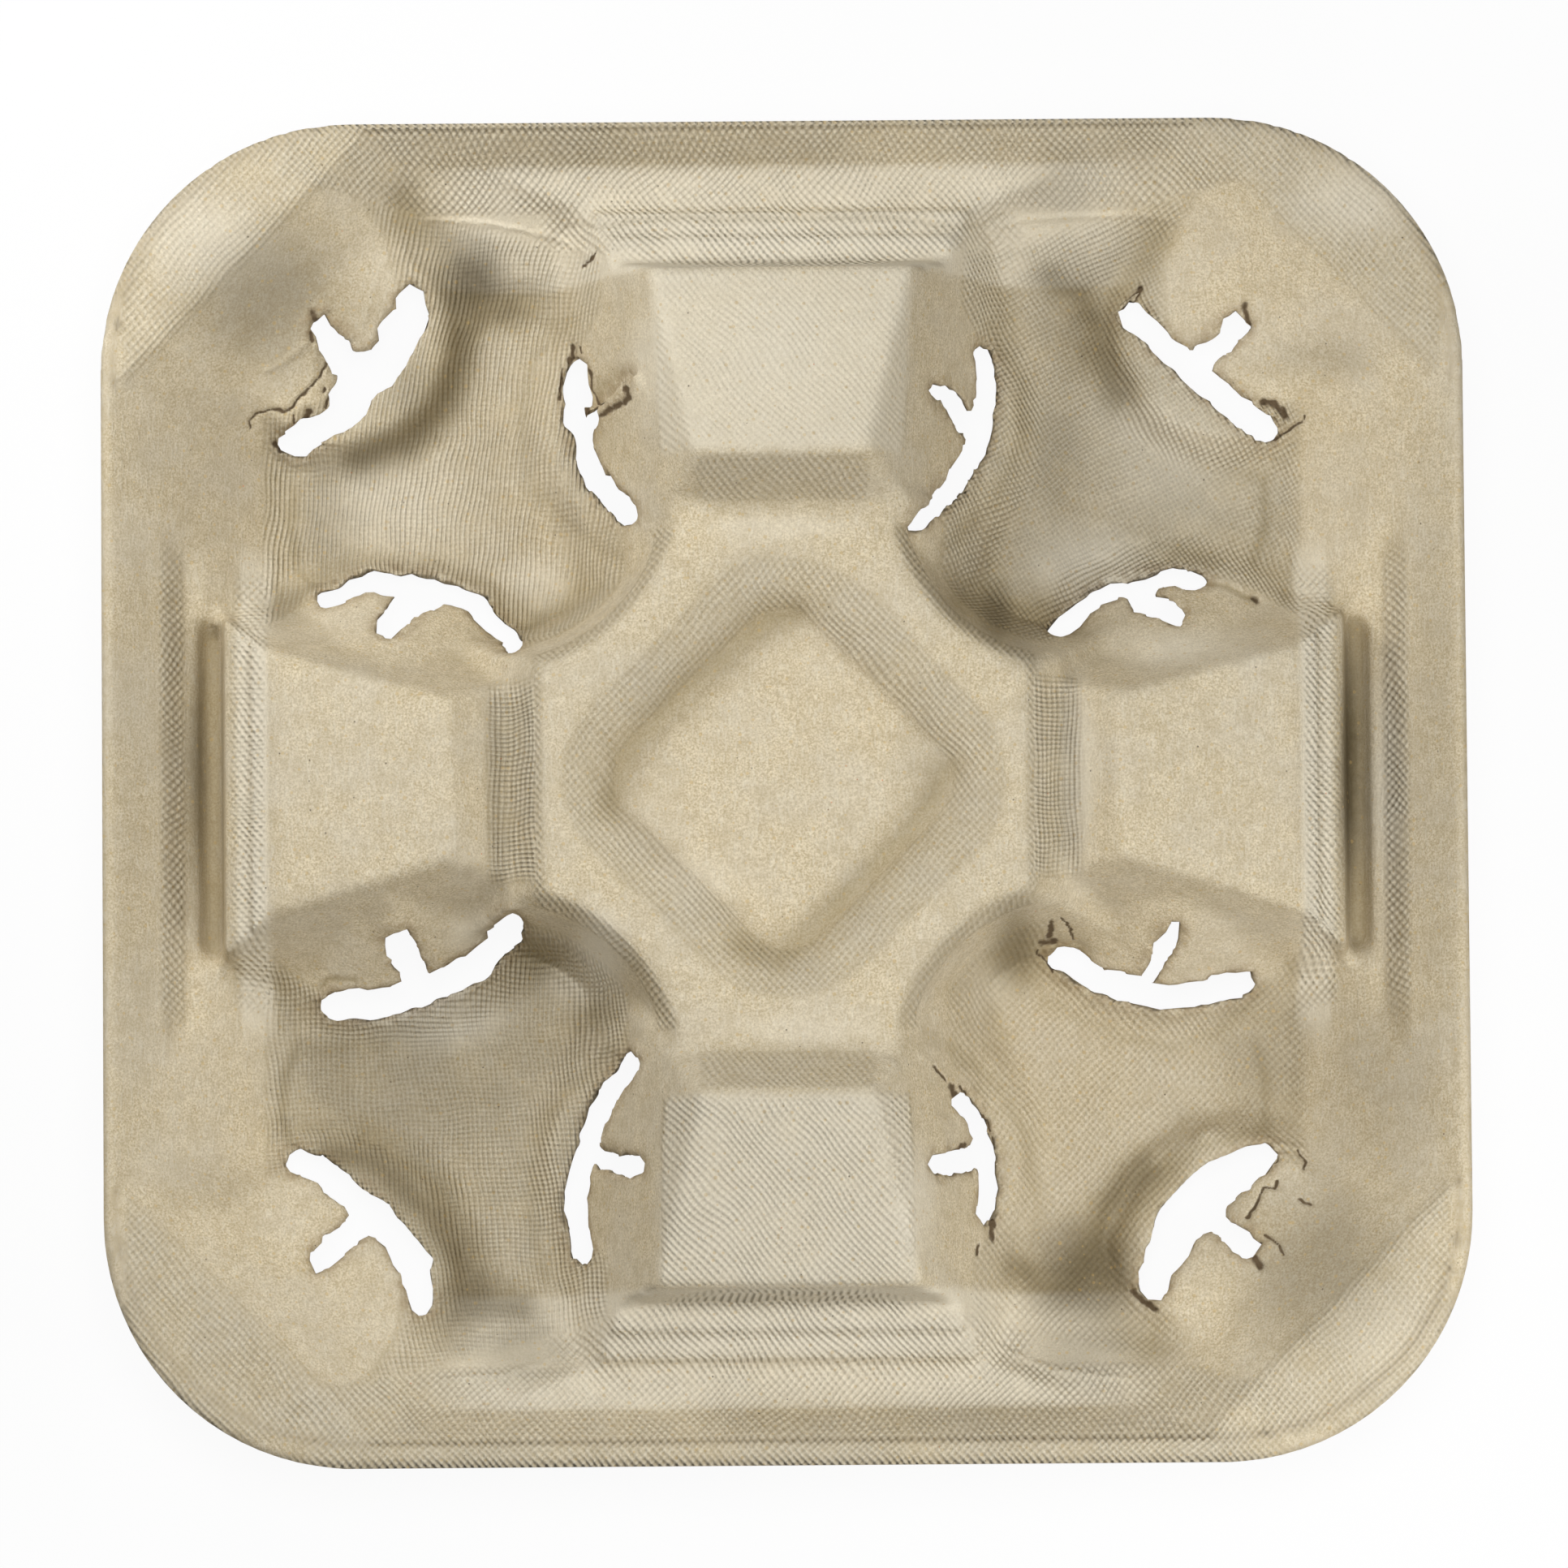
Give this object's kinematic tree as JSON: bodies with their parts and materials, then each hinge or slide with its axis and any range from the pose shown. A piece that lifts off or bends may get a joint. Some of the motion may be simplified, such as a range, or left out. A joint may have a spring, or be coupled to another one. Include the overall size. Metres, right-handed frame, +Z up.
{
  "type": "cup carrier",
  "caption": "Square moulded-fibre tray with a rounded rim, a dished hub, raised bridges between its cup pockets, and torn slots that free the tabs gripping each cup.",
  "frame": {"origin": "under the middle of the tray, on the surface that the pocket floors rest on", "axes": "+X along the longer side, through the two low bridges; +Y through the two high bridges; +Z up, out of the pockets"},
  "size_m": [0.213, 0.2104, 0.045],
  "materials": {
    "moulded_fibre": "matte, screen-textured"
  },
  "bodies": {
    "root": {"carrier_tray": "moulded_fibre"}
  },
  "joints": []
}
